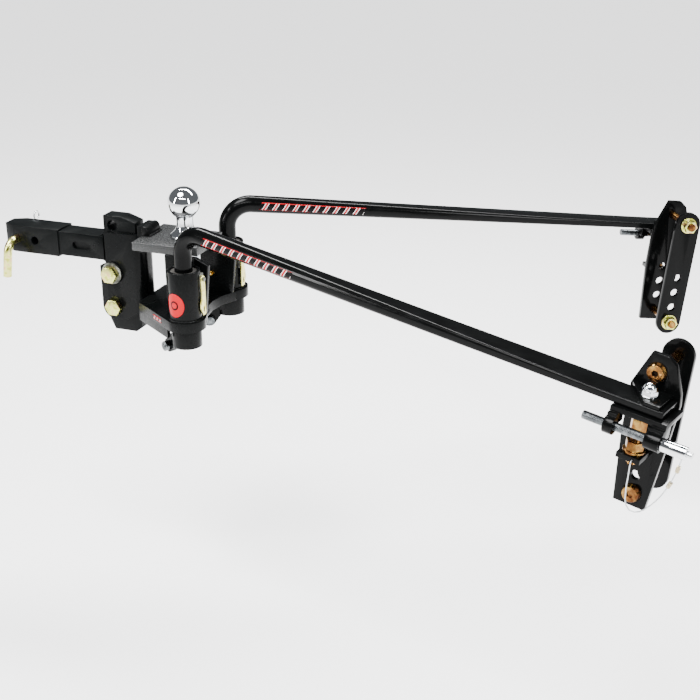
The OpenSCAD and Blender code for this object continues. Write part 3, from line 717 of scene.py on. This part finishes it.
# %%
BADGE, shader, place = new_material("roundel_vinyl")
centre_turn, centre_z = math.radians(-104), -54
PRINT_R, BADGE_R = 29.2, 29.15  # the middle of the film, and where its patch is laid
from_centre = add_node(BADGE, "ShaderNodeVectorMath", [(0, place)], operation="DISTANCE")
from_centre.inputs[1].default_value = (
    (LEG[0] + PRINT_R * math.cos(centre_turn)) / 1000,
    (-LEG[1] + PRINT_R * math.sin(centre_turn)) / 1000,
    centre_z / 1000,
)
reach = add_node(BADGE, "ShaderNodeMath", [(0, from_centre.outputs["Value"])], operation="MULTIPLY")
reach.inputs[1].default_value = 50
tone = add_node(BADGE, "ShaderNodeValToRGB", [("Fac", reach.outputs["Value"])])
tone.color_ramp.interpolation = "CONSTANT"
tone.color_ramp.elements[0].color = colour("#b00a18")
tone.color_ramp.elements[1].position = 0.42
tone.color_ramp.elements[1].color = colour("#b00a18")
tone.color_ramp.elements.new(0.27).color = colour("#050404")
BADGE.node_tree.links.new(tone.outputs["Color"], shader.inputs["Base Color"])
speck = add_node(BADGE, "ShaderNodeTexNoise", [("Vector", place)])
speck.inputs["Scale"].default_value = grain(3)
film_bump = add_node(BADGE, "ShaderNodeBump", [("Height", speck.outputs["Fac"])])
film_bump.inputs["Strength"].default_value = 0.15
film_bump.inputs["Distance"].default_value = 0.00003
BADGE.node_tree.links.new(film_bump.outputs["Normal"], shader.inputs["Normal"])
shader.inputs["Roughness"].default_value = 0.3
shader.inputs["Specular IOR Level"].default_value = VINYL_SHEEN


def badge_place(u, v):
    reach_mm = 0.4 + 19 * u
    angle = 2 * math.pi * v
    turn = centre_turn + reach_mm * math.cos(angle) / BADGE_R
    return (
        (LEG[0] + BADGE_R * math.cos(turn)) / 1000,
        (-LEG[1] + BADGE_R * math.sin(turn)) / 1000,
        (centre_z + reach_mm * 1.12 * math.sin(angle)) / 1000,
    )


badge = mapped_grid("socket_roundel", 16, 48, badge_place, closed=False)
thicken(badge)
dress(badge, BADGE)
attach(badge, "head")
print("roundel on the near socket")

# %% [markdown]
# ## Tilt washers
# The washers under the upper bolt are stamped with radial teeth that bite into the channel and hold the
# head's tilt. Each tooth is a shallow ridge, so the grey ring sparkles around its rim.

# %%
TEETH = 48
TILT_X, TILT_Z = 203, -44


def washer_place(sign):
    rings = [(9.6, 26.1), (9.6, 31.6), (11, 32), (19.2, 32), (20.6, 31.4)]
    rings += [(20.9, 30.2), (20.9, 27), (20.4, 26.1), (9.6, 26.1)]

    def place(u, v):
        radius, height = rings[round(u * (len(rings) - 1))]
        ridge = abs(((v * TEETH) % 1) - 0.5) * 2
        if radius > 12:
            radius -= 0.9 * ridge
        if 11 < radius and height > 31:
            height -= 0.7 * ridge
        turn = 2 * math.pi * v
        return (
            (TILT_X + radius * math.cos(turn)) / 1000,
            sign * height / 1000,
            (TILT_Z + radius * math.sin(turn)) / 1000,
        )

    return place


for sign, name in ((-1, "tilt_washer_near"), (1, "tilt_washer_far")):
    washer = mapped_grid(name, 8, TEETH * 4, washer_place(sign))
    dress(washer, GREY)
    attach(washer, "shank")
    if sign < 0:
        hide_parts("tilt_washers")
print("two toothed washers")

# %% [markdown]
# ## Jack screws
# The jack screw lifts the bracket to load the bar. Its coarse thread is cut at 2.5 mm, and a real helix
# catches light on every turn, which a smooth rod can't.

# %%
def thread_place(side, top, bottom, radius, depth, pitch):
    def place(u, v):
        height = top + (bottom - top) * u
        phase = (height / pitch + v) % 1
        cut = depth * (1 - abs(phase - 0.5) * 2)
        if u == 0 or u == 1:
            cut = depth
        turn = 2 * math.pi * v
        reach = radius - cut
        return bar_point(side, CLAMP_X + reach * math.cos(turn), JACK_Y + reach * math.sin(turn), height)

    return place


def hex_place(side, top, bottom, flats, bore):
    """A chamfered hexagon nut; the bore stays round while the outer rings follow the flats."""
    corner = flats / 2 / math.cos(math.radians(30))
    rings = [(bore, bottom), (corner - 1.6, bottom), (corner, bottom + 1.2)]
    rings += [(corner, top - 1.2), (corner - 1.6, top), (bore, top), (bore, bottom)]

    def place(u, v):
        reach, height = rings[round(u * (len(rings) - 1))]
        turn = 2 * math.pi * v
        facet = math.cos(math.radians(30)) / math.cos((turn % math.radians(60)) - math.radians(30))
        radius = reach if reach == bore else reach * facet
        return bar_point(side, CLAMP_X + radius * math.cos(turn), JACK_Y + radius * math.sin(turn), height)

    return place


for side in ("left", "right"):
    screw = mapped_grid("jack_thread_" + side, 280, 32, thread_place(side, -8.5, -95.9, 7.95, 0.8, 2.5))
    coupling = mapped_grid("jack_coupling_" + side, 6, 48, hex_place(side, -20.4, -44.2, 20.9, 7.9))
    for piece in (screw, coupling):
        dress(piece, COPPER)
        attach(piece, "carrier_" + side)
    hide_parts("jack_screw_" + side)
print("jack threads cut")

# %% [markdown]
# ## Weld beads
# The head is a weldment. Where a socket tube meets the lower plate, and where the block crosses the
# platform, a welder leaves a rippled bead about 6 mm wide. Ripples are about 2 mm apart along the seam.

# %%
def bead(name, path, radius, ripples, body):
    """A rippled bead along path, a list of row points in mm."""
    lengths = [0]
    for a, b in zip(path, path[1:]):
        lengths.append(lengths[-1] + math.dist(a, b))

    def place(u, v):
        at = u * lengths[-1]
        k = max(i for i, run in enumerate(lengths[:-1]) if run <= at + 1e-9)
        part = (at - lengths[k]) / (lengths[k + 1] - lengths[k])
        centre = [a + (b - a) * part for a, b in zip(path[k], path[k + 1])]
        before, after = path[max(k - 1, 0)], path[min(k + 2, len(path) - 1)]
        heading = math.atan2(after[1] - before[1], after[0] - before[0])
        ripple = 0.82 + 0.18 * abs(math.sin(math.pi * u * ripples))
        taper = math.sqrt(math.sin(math.pi * (0.01 + 0.98 * u)) ** 0.12)
        wave = radius * ripple * taper
        turn = 2 * math.pi * v
        side_step = wave * math.cos(turn)
        return (
            (centre[0] - side_step * math.sin(heading)) / 1000,
            (centre[1] + side_step * math.cos(heading)) / 1000,
            (centre[2] + wave * math.sin(turn)) / 1000,
        )

    piece = mapped_grid(name, max(40, int(ripples * 4)), 12, place)
    dress(piece, PAINTED)
    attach(piece, body)
    return piece


WELD_R, WELD_Z = 29.4, -84.6
for side, mirror in (("left", -1), ("right", 1)):
    ring = []
    for turn in range(-60, 226, 6):
        x = LEG[0] + WELD_R * math.cos(math.radians(turn))
        y = mirror * (LEG[1] + WELD_R * math.sin(math.radians(turn)))
        ring.append((x, y, WELD_Z))
    bead("socket_weld_" + side, ring, 2.6, 60, "head")
seam = [(283.2, -22, 33.4), (283.4, -8, 33.4), (283.2, 8, 33.4), (283.2, 22, 33.4)]
bead("block_weld", seam, 3.0, 18, "head")
print("three weld beads")

# %% [markdown]
# ## Floor and light
# The hitch is shown on white, as a catalogue does. A wide soft sun whitens a pale floor well below it, and
# the floor carries only a faint shadow. Gloss black shows nothing but what it reflects, so four strip
# lights are placed where the bars, the plates and the ball each pick up one long clean highlight.

# %%
bpy.ops.object.select_all(action="DESELECT")
bpy.ops.mesh.primitive_plane_add(size=300, location=(0.6, 0, -0.62))
floor = bpy.context.active_object
floor.name = "studio_floor"
FLOOR, shader, place = new_material("pale_floor")
shader.inputs["Base Color"].default_value = colour("#f6f6f6")
shader.inputs["Roughness"].default_value = 0.9
dress(floor, FLOOR)

world = bpy.data.worlds.new("studio")
bpy.context.scene.world = world
world.use_nodes = True
world.node_tree.nodes["Background"].inputs["Color"].default_value = colour("#dfe4ea")
world.node_tree.nodes["Background"].inputs["Strength"].default_value = 0.2

bpy.ops.object.light_add(type="SUN", rotation=(math.radians(18), math.radians(-12), 0))
sun = bpy.context.active_object
sun.name = "floor_wash"
sun.data.energy = 7.5
sun.data.angle = math.radians(30)

LIGHTS = {
    "overhead_strip": ((0.5, 1.2, 1.9), (0.6, 0.0, 0.0), 3.0, 0.3, 170),
    "left_strip": ((-1.3, -1.7, 1.0), (0.3, 0.0, 0.0), 0.22, 1.6, 70),
    "right_strip": ((2.9, -1.2, 1.1), (0.9, -0.1, 0.0), 0.25, 1.8, 60),
    "near_strip": ((0.9, -2.2, 2.2), (0.6, -0.1, 0.0), 2.4, 0.16, 60),
}
for name, (spot, aim, width, height, power) in LIGHTS.items():
    bpy.ops.object.light_add(type="AREA", location=spot)
    lamp = bpy.context.active_object
    lamp.name = name
    lamp.data.shape = "RECTANGLE"
    lamp.data.size = width
    lamp.data.size_y = height
    lamp.data.energy = power
    dx, dy, dz = (a - b for a, b in zip(aim, spot))
    lamp.rotation_euler = (math.atan2(math.hypot(dx, dy), -dz), 0, math.atan2(dy, dx) - math.pi / 2)
print(len(LIGHTS), "lights")
